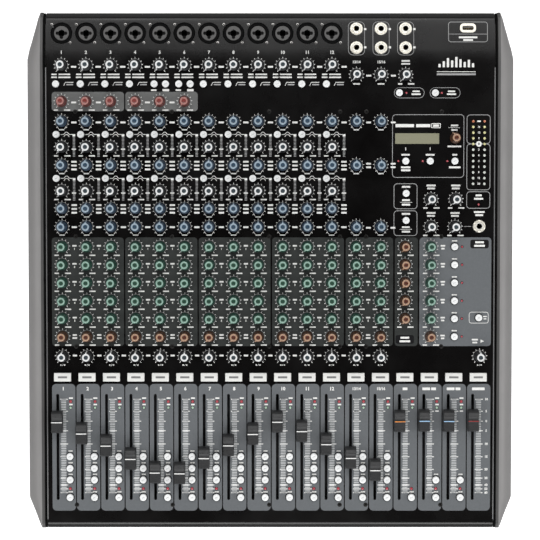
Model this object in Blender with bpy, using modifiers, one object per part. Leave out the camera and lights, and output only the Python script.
"""A sixteen-channel mixing console: sheet-metal case with folded side cheeks, a sloping control
panel with a level socket bay at its rear, circuit boards, long-throw faders and rotary controls.
Metres, +Z up, +Y to the rear, origin on the table under the middle of the console."""

import math

import bmesh
import bpy
from mathutils import Matrix, Vector

# Driving dimensions
DEPTH = 0.532
HALF_WIDTH = 0.2525
FRONT_HEIGHT = 0.046
BAY_HEIGHT = 0.0988
BEND_Y = 0.219
PANEL_FRONT_Y = -0.2615
PANEL_REAR_Y = 0.2595
PANEL_HALF_WIDTH = 0.231
SHEET = 0.0015
GAP = 0.0003
SLOPE = math.atan2(BAY_HEIGHT - FRONT_HEIGHT, BEND_Y - PANEL_FRONT_Y)

# Control columns, left to right: twelve mono, two stereo, effects, two groups, main
COLUMN_PITCH = 0.0253
COLUMNS = [COLUMN_PITCH * (i - 8.5) for i in range(18)]
FADER_NAMES = [f"fader_channel_{i:02d}" for i in range(1, 13)] + [
    "fader_stereo_1",
    "fader_stereo_2",
    "fader_effects",
    "fader_group_1",
    "fader_group_2",
    "fader_main",
]
# Where each fader stands, as a share of its travel from the bottom
FADER_SETTINGS = (
    *(0.767, 0.65, 0.525, 0.387, 0.245, 0.237, 0.395, 0.527, 0.645),
    *(0.772, 0.675, 0.54, 0.397, 0.27, 0.777, 0.782, 0.78, 0.782),
)
FADER_TRAVEL = 0.100
FADER_MIDDLE_Y = -0.182
FADER_OFFSET_X = -0.0054
SLOT_LENGTH = 0.109
SLOT_WIDTH = 0.0026

# Rows of the first channel's rotary controls, rear to front
KNOB_ROWS = {
    "gain": 0.2102,
    "compressor": 0.1733,
    "treble": 0.1529,
    "high_mid_frequency": 0.1265,
    "high_mid": 0.1081,
    "low_mid_frequency": 0.0818,
    "low_mid": 0.0637,
    "bass": 0.0451,
    "aux_1": 0.0246,
    "aux_2": 0.0061,
    "aux_3": -0.0124,
    "aux_4": -0.0309,
    "aux_5": -0.0493,
    "effects_send": -0.0678,
    "pan": -0.0884,
}
ENCODER_XY = (0.1905, 0.1360)
HEADPHONE_LEVEL_XY = (0.1905, 0.0450)
HEADPHONE_JACK_XY = (0.2155, 0.0457)
KNOB_SHAFT_RADIUS = 0.003
KNOB_SHAFT_DEPTH = 0.008
KNOB_HOLE_RADIUS = 0.004

# Keys and buttons
MUTE_Y = -0.1096
MUTE_SIZE = (0.0176, 0.0088)
LOW_CUT_XY = (COLUMNS[0] - 0.0057, 0.1911)
BUTTON_RADIUS = 0.0036
KEY_CLEARANCE = 0.0004

# Sockets on the panel
COMBO_Y = 0.2434
COMBO_RADIUS = 0.0106
COMBO_DEPTH = 0.026
JACK_ROWS_Y = (0.2480, 0.2283)
JACK_NUT_RADIUS = 0.0060
JACK_BORE_RADIUS = 0.0037
JACK_DEPTH = 0.016
USB_XY = (0.2034, 0.2488)
USB_SIZE = (0.0140, 0.0072)
LCD_XY = (0.1512, 0.1354)
LCD_SIZE = (0.0466, 0.0122)

# Rear panel sockets, all on one height
REAR_PANEL_Y = 0.2580
REAR_ROW_Z = 0.0470
XLR_OUT_X = (-0.170, -0.138)
REAR_JACK_X = [-0.105 + 0.020 * i for i in range(8)]
MAINS_INLET_X = 0.190
ROCKER_X = 0.152
ROCKER_TILT = math.radians(8)

# Depths under the panel, measured square to it
BOARD = 0.0016
CHANNEL_BOARD_DEPTH = 0.0165
FADER_BOARD_DEPTH = 0.0180
FLOOR_Z = 0.010


def panel_height(y):
    """Height of the top face at a distance y from the middle: a slope, then the level bay."""
    return min(FRONT_HEIGHT + (y - PANEL_FRONT_Y) * math.tan(SLOPE), BAY_HEIGHT)


def on_panel(x, y, w=0.0):
    """Place in the panel's own plane (x, distance up the slope, distance off the face)."""
    return Vector((x, y / math.cos(SLOPE), w))


def on_bay(x, y, w=0.0):
    """Place in the level bay's plane."""
    return Vector((x, y, w))


def clear_scene():
    for obj in list(bpy.data.objects):
        bpy.data.objects.remove(obj)


def make_collection(name):
    collection = bpy.data.collections.new(name)
    bpy.context.scene.collection.children.link(collection)
    return collection


def material(name, colour, roughness, metallic=0.0):
    made = bpy.data.materials.get(name) or bpy.data.materials.new(name)
    made.use_nodes = True
    shader = made.node_tree.nodes["Principled BSDF"]
    shader.inputs["Base Color"].default_value = (*colour, 1)
    shader.inputs["Roughness"].default_value = roughness
    shader.inputs["Metallic"].default_value = metallic
    return made


def add_box(bm, centre, size):
    place = Matrix.Translation(centre) @ Matrix.Diagonal((*size, 1))
    bmesh.ops.create_cube(bm, size=1, matrix=place)


def add_rod(bm, centre, radius, length, sides=12, along="Z", top_radius=None):
    turn = {"Z": Matrix(), "Y": Matrix.Rotation(math.radians(-90), 4, "X")}[along]
    flat_side = Matrix.Rotation(math.pi / sides, 4, "Z")
    bmesh.ops.create_cone(
        bm,
        cap_ends=True,
        segments=sides,
        radius1=radius,
        radius2=radius if top_radius is None else top_radius,
        depth=length,
        matrix=Matrix.Translation(centre) @ turn @ flat_side,
    )


def add_extrusion(bm, outline, low_x, high_x):
    """A closed prism: an outline of (y, z) points, drawn out along X."""
    ring = [bm.verts.new((low_x, y, z)) for y, z in outline]
    face = bm.faces.new(ring)
    drawn = bmesh.ops.extrude_face_region(bm, geom=[face])
    moved = [v for v in drawn["geom"] if isinstance(v, bmesh.types.BMVert)]
    bmesh.ops.translate(bm, verts=moved, vec=(high_x - low_x, 0, 0))


def finish_mesh(bm, name):
    bmesh.ops.recalc_face_normals(bm, faces=bm.faces)
    mesh = bpy.data.meshes.new(name)
    bm.to_mesh(mesh)
    bm.free()
    return mesh


def add_object(name, mesh, finish, parent=None, location=(0, 0, 0)):
    obj = bpy.data.objects.new(name, mesh)
    if not mesh.materials:
        mesh.materials.append(finish)
    CONSOLE.objects.link(obj)
    obj.parent = parent
    obj.location = location
    return obj


def add_cutter(name, mesh, parent=None):
    obj = bpy.data.objects.new(name, mesh)
    CUTTERS.objects.link(obj)
    obj.parent = parent
    obj.hide_render = True
    obj.display_type = "WIRE"
    return obj


def boolean(obj, other, operation):
    modifier = obj.modifiers.new(operation.lower(), "BOOLEAN")
    modifier.operation = operation
    modifier.object = other
    modifier.solver = "EXACT"


def built_up(name, finish, base, added=None, cut=None, parent=None):
    """One solid: a base shape, joined with what added draws and cut by what cut draws."""
    bm = bmesh.new()
    base(bm)
    obj = add_object(name, finish_mesh(bm, name), finish, parent)
    for draw, operation in ((added, "UNION"), (cut, "DIFFERENCE")):
        if draw:
            bm = bmesh.new()
            draw(bm)
            tool = f"{name}_{operation.lower()}"
            boolean(obj, add_cutter(tool, finish_mesh(bm, tool), parent), operation)
    return obj


def frozen_mesh(obj):
    """The object's mesh with its modifiers applied; the object itself goes."""
    graph = bpy.context.evaluated_depsgraph_get()
    mesh = bpy.data.meshes.new_from_object(obj.evaluated_get(graph))
    bpy.data.objects.remove(obj)
    return mesh


def turned_mesh(name, profile, finish, steps):
    """A solid of revolution about Z from (radius, height) points that run down its outer side."""
    mesh = bpy.data.meshes.new(name)
    points = [(radius, 0, height) for radius, height in profile]
    edges = [(i, i + 1) for i in range(len(points) - 1)]
    mesh.from_pydata(points, edges, [])
    obj = add_object(name, mesh, finish)
    screw = obj.modifiers.new("turn", "SCREW")
    screw.steps = screw.render_steps = steps
    screw.use_merge_vertices = True
    screw.merge_threshold = 0.0001
    turned = frozen_mesh(obj)
    turned.shade_smooth()
    turned.set_sharp_from_angle(angle=math.radians(35))
    return turned


def sheet(name, bm, thickness, finish):
    obj = add_object(name, finish_mesh_open(bm, name), finish)
    solidify = obj.modifiers.new("thickness", "SOLIDIFY")
    solidify.thickness = thickness
    solidify.use_even_offset = True
    return obj


def finish_mesh_open(bm, name):
    """As finish_mesh, but the faces keep the way round they were drawn."""
    mesh = bpy.data.meshes.new(name)
    bm.to_mesh(mesh)
    bm.free()
    return mesh


# Case


def make_control_panel(finish, plane, bay):
    """Folded top sheet: sloping face, level bay, bevelled front and rear edges turned down."""
    outline = [
        (DEPTH / 2 - GAP, 0.078),
        (DEPTH / 2 - GAP, BAY_HEIGHT - 0.006),
        (PANEL_REAR_Y, BAY_HEIGHT),
        (BEND_Y, BAY_HEIGHT),
        (PANEL_FRONT_Y, FRONT_HEIGHT),
        (GAP - DEPTH / 2, FRONT_HEIGHT - 0.004),
        (GAP - DEPTH / 2, 0.026),
    ]
    bm = bmesh.new()
    left = [bm.verts.new((-PANEL_HALF_WIDTH, y, z)) for y, z in outline]
    right = [bm.verts.new((PANEL_HALF_WIDTH, y, z)) for y, z in outline]
    for i in range(len(outline) - 1):
        bm.faces.new((left[i], left[i + 1], right[i + 1], right[i]))
    panel = sheet("control_panel", bm, SHEET, finish)
    for name, draw, parent in (
        ("panel_openings", cut_panel_openings, plane),
        ("bay_openings", cut_bay_openings, bay),
    ):
        bm = bmesh.new()
        draw(bm)
        boolean(panel, add_cutter(name, finish_mesh(bm, name), parent), "DIFFERENCE")


def cut_panel_openings(bm):
    through = 0.010
    for x in COLUMNS:
        slot = on_panel(x + FADER_OFFSET_X, FADER_MIDDLE_Y)
        add_box(bm, slot, (SLOT_WIDTH, SLOT_LENGTH, through))
    add_rod(bm, on_panel(*HEADPHONE_JACK_XY), JACK_NUT_RADIUS - 0.0010, through, 12)
    for x, y in knob_places():
        add_rod(bm, on_panel(x, y), KNOB_HOLE_RADIUS, through, 8)
    add_rod(bm, on_panel(*LOW_CUT_XY), BUTTON_RADIUS + KEY_CLEARANCE, through, 12)
    for (x, y), size in (((COLUMNS[0], MUTE_Y), MUTE_SIZE), (LCD_XY, LCD_SIZE)):
        width, length = (side + 2 * KEY_CLEARANCE for side in size)
        add_box(bm, on_panel(x, y), (width, length, through))


def cut_bay_openings(bm):
    through = 0.010
    for x in COLUMNS[:12]:
        add_rod(bm, on_bay(x, COMBO_Y), COMBO_RADIUS + 0.0006, through, 16)
    for x, y in line_jack_places():
        add_rod(bm, on_bay(x, y), JACK_NUT_RADIUS - 0.0010, through, 12)
    width, length = (side + 2 * KEY_CLEARANCE for side in USB_SIZE)
    add_box(bm, on_bay(*USB_XY), (width, length, through))


def line_jack_places():
    return [(x, y) for x in COLUMNS[12:15] for y in JACK_ROWS_Y]


def knob_places():
    first_channel = [(COLUMNS[0], y) for y in KNOB_ROWS.values()]
    return [*first_channel, ENCODER_XY, HEADPHONE_LEVEL_XY]


def make_base_tray(finish):
    """Floor, front wall and side walls of the case, open at the top and at the rear."""
    half, front, rear, drop = 0.2300, -0.2635, 0.2575, 0.0030
    outline = [
        (front, FLOOR_Z),
        (rear, FLOOR_Z),
        (rear, BAY_HEIGHT - drop),
        (BEND_Y, BAY_HEIGHT - drop),
        (front + 0.006, panel_height(front + 0.006) - drop),
        (front, FRONT_HEIGHT - 0.0080),
    ]
    bm = bmesh.new()
    add_extrusion(bm, outline, -half, half)
    bmesh.ops.recalc_face_normals(bm, faces=bm.faces)
    open_sides = [f for f in bm.faces if f.normal.z > 0.5 or f.normal.y > 0.5]
    bmesh.ops.delete(bm, geom=open_sides, context="FACES")
    sheet("base_tray", bm, 0.0012, finish)


def make_rear_panel(finish):
    low, high = FLOOR_Z + 0.0018, 0.0945

    def plate(bm):
        middle = (0, REAR_PANEL_Y + 0.0006, (low + high) / 2)
        add_box(bm, middle, (0.457, 0.0012, high - low))

    def holes(bm):
        for x in XLR_OUT_X:
            add_rod(bm, (x, REAR_PANEL_Y, REAR_ROW_Z), 0.0118, 0.01, 16, "Y")
        for x in REAR_JACK_X:
            add_rod(bm, (x, REAR_PANEL_Y, REAR_ROW_Z), 0.0052, 0.01, 12, "Y")
        add_box(bm, (MAINS_INLET_X, REAR_PANEL_Y, REAR_ROW_Z), (0.0290, 0.01, 0.0220))
        add_box(bm, (ROCKER_X, REAR_PANEL_Y, REAR_ROW_Z), (0.0142, 0.01, 0.0220))

    built_up("rear_panel", finish, plate, cut=holes)


def cheek_stations():
    """(y, top edge height, share of the full outward flare) from front to rear."""
    proud = 0.0012
    end = DEPTH / 2
    return [
        (-end, FRONT_HEIGHT - 0.0035, 0.0),
        (PANEL_FRONT_Y, FRONT_HEIGHT + proud, 0.14),
        (-0.2345, panel_height(-0.2345) + proud, 1.0),
        (BEND_Y, BAY_HEIGHT + proud, 1.0),
        (0.2290, BAY_HEIGHT + proud, 0.86),
        (PANEL_REAR_Y, BAY_HEIGHT + proud, 0.15),
        (end, BAY_HEIGHT - 0.0050, 0.0),
    ]


def cheek_section(top, flare):
    """(x, z) points over the cheek's outside: top strip, flared face, side and bottom lip."""
    inner, strip, narrow = 0.2320, 0.2348, 0.2356
    outer = narrow + flare * (HALF_WIDTH - narrow)
    turn_in = max(inner + 0.0020, outer - 0.0020)
    return [
        (inner, top),
        (strip, top),
        (outer, top - 0.0220),
        (outer, FLOOR_Z + 0.0020),
        (turn_in, FLOOR_Z),
        (inner, FLOOR_Z),
    ]


def make_cheek(name, side, finish):
    """Folded side skin with mitred ends, open towards the case. side is -1 or 1."""
    bm = bmesh.new()
    rings = []
    for y, top, flare in cheek_stations():
        section = cheek_section(top, flare)
        rings.append([bm.verts.new((side * x, y, z)) for x, z in section])
    for front, rear in zip(rings, rings[1:]):
        for i in range(len(front) - 1):
            bm.faces.new((front[i], rear[i], rear[i + 1], front[i + 1]))
    bm.faces.new(rings[0])
    bm.faces.new(reversed(rings[-1]))
    if side > 0:
        bmesh.ops.reverse_faces(bm, faces=bm.faces)
    sheet(name, bm, 0.0016, finish)


def make_feet(finish):
    height = FLOOR_Z - GAP
    for end, y in (("front", -0.225), ("rear", 0.225)):
        for side, x in (("left", -0.195), ("right", 0.195)):
            bm = bmesh.new()
            add_rod(bm, (0, 0, height / 2), 0.0095, height, 12, top_radius=0.0110)
            name = f"foot_{end}_{side}"
            add_object(name, finish_mesh(bm, name), finish, location=(x, y, 0))


# Sockets and boards under the panel


def make_input_sockets(finish, bay):
    """Twelve combined microphone and line sockets on their own board."""
    bottom = -COMBO_DEPTH

    def board(bm):
        add_box(bm, on_bay(0, COMBO_Y - 0.0008, bottom - BOARD / 2), (0.440, 0.0205, BOARD))

    def bodies(bm):
        for x in COLUMNS[:12]:
            middle = (bottom - BOARD / 2 + 0.0004) / 2
            length = COMBO_DEPTH + BOARD / 2 + 0.0004
            add_rod(bm, on_bay(x, COMBO_Y, middle), COMBO_RADIUS, length, 12)

    def bores(bm):
        for x in COLUMNS[:12]:
            add_rod(bm, on_bay(x, COMBO_Y), JACK_BORE_RADIUS, 2 * JACK_DEPTH, 8)

    built_up("input_socket_bank", finish, board, bodies, bores, bay)


def make_line_jacks(finish, bay):
    """Three stereo pairs of quarter-inch jacks on one board."""
    bottom = -0.0200

    def board(bm):
        add_box(bm, on_bay(COLUMNS[13], 0.2370, bottom - BOARD / 2), (0.072, 0.035, BOARD))

    def bores(bm):
        for x, y in line_jack_places():
            add_rod(bm, on_bay(x, y), JACK_BORE_RADIUS, 2 * JACK_DEPTH, 8)

    obj = built_up("line_jack_bank", finish, board, parent=bay)
    for label, draw, operation in (
        ("bodies", housings_of(line_jack_places(), bottom, on_bay), "UNION"),
        ("noses", noses_of(line_jack_places(), on_bay), "UNION"),
        ("bores", bores, "DIFFERENCE"),
    ):
        bm = bmesh.new()
        draw(bm)
        tool = f"line_jack_{label}"
        boolean(obj, add_cutter(tool, finish_mesh(bm, tool), bay), operation)


def housings_of(places, bottom, on_face):
    def draw(bm):
        for x, y in places:
            height = -0.0040 - bottom + BOARD / 2
            middle = bottom - BOARD / 2 + height / 2
            add_box(bm, on_face(x, y, middle), (0.0140, 0.0140, height))

    return draw


def noses_of(places, on_face):
    def draw(bm):
        for x, y in places:
            add_rod(bm, on_face(x, y, -0.0014), JACK_NUT_RADIUS - 0.0013, 0.0072, 12)

    return draw


def make_headphone_jack(finish, plane):
    bottom = -0.0150
    x, y = HEADPHONE_JACK_XY

    def housing(bm):
        height = -0.0040 - bottom
        add_box(bm, on_panel(x, y, bottom + height / 2), (0.0140, 0.0140, height))

    def bore(bm):
        add_rod(bm, on_panel(x, y), JACK_BORE_RADIUS, 0.026, 8)

    built_up("headphone_jack", finish, housing, noses_of([(x, y)], on_panel), bore, plane)


def make_usb_socket(finish, bay):
    depth = 0.0170

    def shell(bm):
        add_box(bm, on_bay(*USB_XY, -depth / 2), (*USB_SIZE, depth))

    def mouth(bm):
        add_box(bm, on_bay(*USB_XY), (0.0124, 0.0054, 0.026))

    built_up("usb_socket", finish, shell, cut=mouth, parent=bay)


def make_lcd(finish, plane):
    """Display module with its glass standing in the panel's window."""

    def module(bm):
        add_box(bm, on_panel(*LCD_XY, -0.0056), (0.058, 0.024, 0.0076))

    def glass(bm):
        add_box(bm, on_panel(*LCD_XY, -0.0022), (*LCD_SIZE, 0.0034))

    built_up("lcd_display", finish, module, glass, parent=plane)


def make_meter_board(finish, plane):
    """Board behind the level meter, with its driver package."""

    def board(bm):
        add_box(bm, on_panel(0.2140, 0.1210, -0.0046), (0.024, 0.080, BOARD))

    def driver(bm):
        add_box(bm, on_panel(0.2140, 0.1210, -0.0066), (0.010, 0.026, 0.0036))

    built_up("level_meter_board", finish, board, driver, parent=plane)


def make_channel_board(finish, plane):
    """Main board with the potentiometer and switch bodies of the working controls."""
    top = -CHANNEL_BOARD_DEPTH

    def board(bm):
        add_box(bm, on_panel(-0.0090, 0.0520, top - BOARD / 2), (0.436, 0.328, BOARD))

    def bodies(bm):
        pot_top = -KNOB_SHAFT_DEPTH - GAP
        height = pot_top - top + BOARD / 2
        for x, y in knob_places():
            if (x, y) != ENCODER_XY:
                add_box(bm, on_panel(x, y, pot_top - height / 2), (0.010, 0.011, height))
        encoder = on_panel(*ENCODER_XY, pot_top - height / 2)
        add_box(bm, encoder, (0.012, 0.013, height))
        switch_top = -0.0118
        switch_height = switch_top - top + BOARD / 2
        for x, y in ((COLUMNS[0], MUTE_Y + 0.0020), LOW_CUT_XY):
            middle = on_panel(x, y, switch_top - switch_height / 2)
            add_box(bm, middle, (0.0075, 0.0060, switch_height))

    built_up("channel_board", finish, board, bodies, parent=plane)


def make_fader_board(finish, plane):
    """Board that carries eighteen slide potentiometer frames, each with its lever groove."""
    top = -FADER_BOARD_DEPTH
    track_top = -0.0035

    def board(bm):
        add_box(bm, on_panel(0, FADER_MIDDLE_Y, top - BOARD / 2), (0.446, 0.136, BOARD))

    def tracks(bm):
        height = track_top - top + BOARD / 2
        for x in COLUMNS:
            middle = on_panel(x + FADER_OFFSET_X, FADER_MIDDLE_Y, track_top - height / 2)
            add_box(bm, middle, (0.0090, 0.128, height))

    def grooves(bm):
        for x in COLUMNS:
            middle = on_panel(x + FADER_OFFSET_X, FADER_MIDDLE_Y, track_top)
            add_box(bm, middle, (0.0028, 0.110, 0.0160))

    built_up("fader_track_board", finish, board, tracks, grooves, plane)


# Inside the case and on the rear panel


def make_output_sockets(finish):
    """Main outputs and line outputs on an upright board behind the rear panel."""
    board_y = 0.2360
    face_y = REAR_PANEL_Y + 0.0038

    def board(bm):
        add_box(bm, (-0.070, board_y, 0.0460), (0.232, BOARD, 0.030))

    def bodies(bm):
        length = face_y - board_y
        middle = (face_y + board_y) / 2
        for x in XLR_OUT_X:
            add_rod(bm, (x, middle, REAR_ROW_Z), 0.0112, length, 16, "Y")
        for x in REAR_JACK_X:
            add_rod(bm, (x, middle, REAR_ROW_Z), 0.0047, length, 12, "Y")

    def bores(bm):
        for x in XLR_OUT_X:
            add_rod(bm, (x, face_y, REAR_ROW_Z), 0.0088, 0.028, 16, "Y")
        for x in REAR_JACK_X:
            add_rod(bm, (x, face_y, REAR_ROW_Z), JACK_BORE_RADIUS, 0.034, 8, "Y")

    built_up("output_socket_bank", finish, board, bodies, bores)


def make_mains_inlet(finish):
    x, z = MAINS_INLET_X, REAR_ROW_Z

    def body(bm):
        add_box(bm, (x, 0.2490, z), (0.0280, 0.0240, 0.0210))

    def flange(bm):
        add_box(bm, (x, REAR_PANEL_Y + 0.0025, z), (0.0330, 0.0020, 0.0260))

    def mouth(bm):
        add_box(bm, (x, REAR_PANEL_Y, z), (0.0240, 0.0300, 0.0165))

    built_up("mains_inlet", finish, body, flange, mouth)


def make_power_rocker(finish):
    """Shallow V rocker, tipped to its off side. It turns about X on the object's own origin."""
    half, nose, rise, back = 0.0098, 0.0036, 0.0022, -0.0050
    outline = [
        (nose + rise, half),
        (nose, 0.0),
        (nose + rise, -half),
        (back, -half * 0.5),
        (back, half * 0.5),
    ]
    bm = bmesh.new()
    add_extrusion(bm, outline, -0.0064, 0.0064)
    place = (ROCKER_X, REAR_PANEL_Y - 0.0016, REAR_ROW_Z)
    rocker = add_object("power_rocker", finish_mesh(bm, "power_rocker"), finish, location=place)
    rocker.rotation_euler.x = ROCKER_TILT


def make_power_supply(finish):
    """Power supply board with its transformer, heat sink and reservoir capacitors."""
    x, y, z = 0.150, 0.180, FLOOR_Z + 0.0080

    def board(bm):
        add_box(bm, (x, y, z), (0.110, 0.084, BOARD))

    def components(bm):
        add_box(bm, (x - 0.030, y, z + 0.0130), (0.036, 0.044, 0.026))
        add_box(bm, (x + 0.046, y, z + 0.0120), (0.004, 0.070, 0.024))
        for dy in (-0.024, 0.0, 0.024):
            add_rod(bm, (x + 0.018, y + dy, z + 0.0110), 0.0085, 0.022, 10)

    built_up("power_supply", finish, board, components)


def make_effects_module(finish, plane):
    """Signal processor daughterboard under the right-hand end of the main board."""
    top = -CHANNEL_BOARD_DEPTH - BOARD - 0.0040

    def board(bm):
        add_box(bm, on_panel(0.150, 0.070, top - BOARD / 2), (0.060, 0.050, BOARD))

    def chips(bm):
        add_box(bm, on_panel(0.140, 0.070, top - BOARD - 0.0008), (0.020, 0.020, 0.0020))
        add_box(bm, on_panel(0.166, 0.072, top - BOARD - 0.0008), (0.010, 0.018, 0.0020))

    built_up("effects_module", finish, board, chips, parent=plane)


def make_ribbon_cable(finish):
    """Flat cable from the socket board's underside to the main board's underside."""
    lower = [
        (0.2440, 0.0708),
        (0.2440, 0.0660),
        (0.2300, 0.0630),
        (0.2060, 0.0690),
        (0.2060, 0.0785),
    ]
    upper = [
        (0.2070, 0.0785),
        (0.2070, 0.0698),
        (0.2300, 0.0641),
        (0.2430, 0.0668),
        (0.2430, 0.0708),
    ]
    bm = bmesh.new()
    add_extrusion(bm, lower + upper, -0.025, 0.025)
    add_object("ribbon_cable", finish_mesh(bm, "ribbon_cable"), finish)


# Controls


def make_faders(finish, plane):
    """Eighteen dished caps, each with its lever through the slot into the track's groove."""
    half_outline = [
        (0.0115, 0.0020),
        (0.0110, 0.0100),
        (0.0096, 0.0124),
        (0.0076, 0.0125),
        (0.0030, 0.0106),
        (0.0012, 0.0114),
    ]
    outline = half_outline + [(-y, z) for y, z in reversed(half_outline)]

    def cap(bm):
        add_extrusion(bm, outline, -0.0057, 0.0057)

    def lever(bm):
        add_box(bm, (0, 0, -0.0025), (0.0012, 0.0060, 0.0130))

    mesh = frozen_mesh(built_up("fader", finish, cap, lever))
    bottom = FADER_MIDDLE_Y / math.cos(SLOPE) - FADER_TRAVEL / 2
    for name, x, setting in zip(FADER_NAMES, COLUMNS, FADER_SETTINGS):
        place = (x + FADER_OFFSET_X, bottom + setting * FADER_TRAVEL, 0)
        add_object(name, mesh, finish, plane, place)


def make_knobs(finish, plane):
    """Rotary knobs that share one turned shape: crowned top, skirt and shaft."""
    top, skirt = 0.0140, 0.0010
    profile = [
        (0, top),
        (0.0042, top),
        (0.0047, top - 0.0008),
        (0.0052, 0.0034),
        (0.0057, 0.0026),
        (0.0057, skirt),
        (KNOB_SHAFT_RADIUS, skirt),
        (KNOB_SHAFT_RADIUS, -KNOB_SHAFT_DEPTH),
        (0, -KNOB_SHAFT_DEPTH),
    ]
    mesh = turned_mesh("knob", profile, finish, 12)
    names = [f"knob_{row}_channel_01" for row in KNOB_ROWS]
    names += ["knob_effects_encoder", "knob_headphone_level"]
    for name, (x, y) in zip(names, knob_places()):
        add_object(name, mesh, finish, plane, on_panel(x, y))


def make_keys(finish, plane):
    width, length = MUTE_SIZE
    bm = bmesh.new()
    add_box(bm, (0, 0, -0.0030), (width, length, 0.0120))
    mesh = finish_mesh(bm, "mute_key_channel_01")
    add_object("mute_key_channel_01", mesh, finish, plane, on_panel(COLUMNS[0], MUTE_Y))
    bm = bmesh.new()
    add_rod(bm, (0, 0, -0.0028), BUTTON_RADIUS, 0.0124, 12)
    mesh = finish_mesh(bm, "low_cut_button_channel_01")
    add_object("low_cut_button_channel_01", mesh, finish, plane, on_panel(*LOW_CUT_XY))


def make_plane(name, height, tilt):
    """Empty whose XY plane is a top face; what is mounted on that face hangs from it."""
    plane = bpy.data.objects.new(name, None)
    CONSOLE.objects.link(plane)
    plane.location = (0, 0, height)
    plane.rotation_euler.x = tilt
    return plane


clear_scene()
CONSOLE = make_collection("mixing_console")
CUTTERS = make_collection("cutters")

BLACK_STEEL = material("black_steel", (0.012, 0.012, 0.013), 0.42)
GREY_STEEL = material("grey_steel", (0.16, 0.155, 0.15), 0.45)
BLACK_PLASTIC = material("black_plastic", (0.02, 0.02, 0.02), 0.5)
RUBBER = material("rubber", (0.015, 0.015, 0.015), 0.8)
NICKEL = material("nickel", (0.75, 0.72, 0.65), 0.3, 1.0)
CIRCUIT = material("circuit_board", (0.02, 0.10, 0.04), 0.5)
DISPLAY = material("display_glass", (0.35, 0.36, 0.24), 0.2)
LIGHT_PLASTIC = material("light_plastic", (0.8, 0.8, 0.78), 0.4)
CABLE = material("cable", (0.35, 0.35, 0.36), 0.6)

PANEL_PLANE = make_plane("panel_plane", panel_height(0), SLOPE)
BAY_PLANE = make_plane("bay_plane", BAY_HEIGHT, 0)
make_control_panel(BLACK_STEEL, PANEL_PLANE, BAY_PLANE)
make_base_tray(BLACK_STEEL)
make_rear_panel(BLACK_STEEL)
make_cheek("left_cheek", -1, GREY_STEEL)
make_cheek("right_cheek", 1, GREY_STEEL)
make_feet(RUBBER)
make_input_sockets(BLACK_PLASTIC, BAY_PLANE)
make_line_jacks(NICKEL, BAY_PLANE)
make_headphone_jack(NICKEL, PANEL_PLANE)
make_usb_socket(NICKEL, BAY_PLANE)
make_lcd(DISPLAY, PANEL_PLANE)
make_meter_board(CIRCUIT, PANEL_PLANE)
make_channel_board(CIRCUIT, PANEL_PLANE)
make_fader_board(CIRCUIT, PANEL_PLANE)
make_output_sockets(BLACK_PLASTIC)
make_mains_inlet(BLACK_PLASTIC)
make_power_rocker(BLACK_PLASTIC)
make_power_supply(CIRCUIT)
make_effects_module(CIRCUIT, PANEL_PLANE)
make_ribbon_cable(CABLE)
make_faders(BLACK_PLASTIC, PANEL_PLANE)
make_knobs(BLACK_PLASTIC, PANEL_PLANE)
make_keys(LIGHT_PLASTIC, PANEL_PLANE)
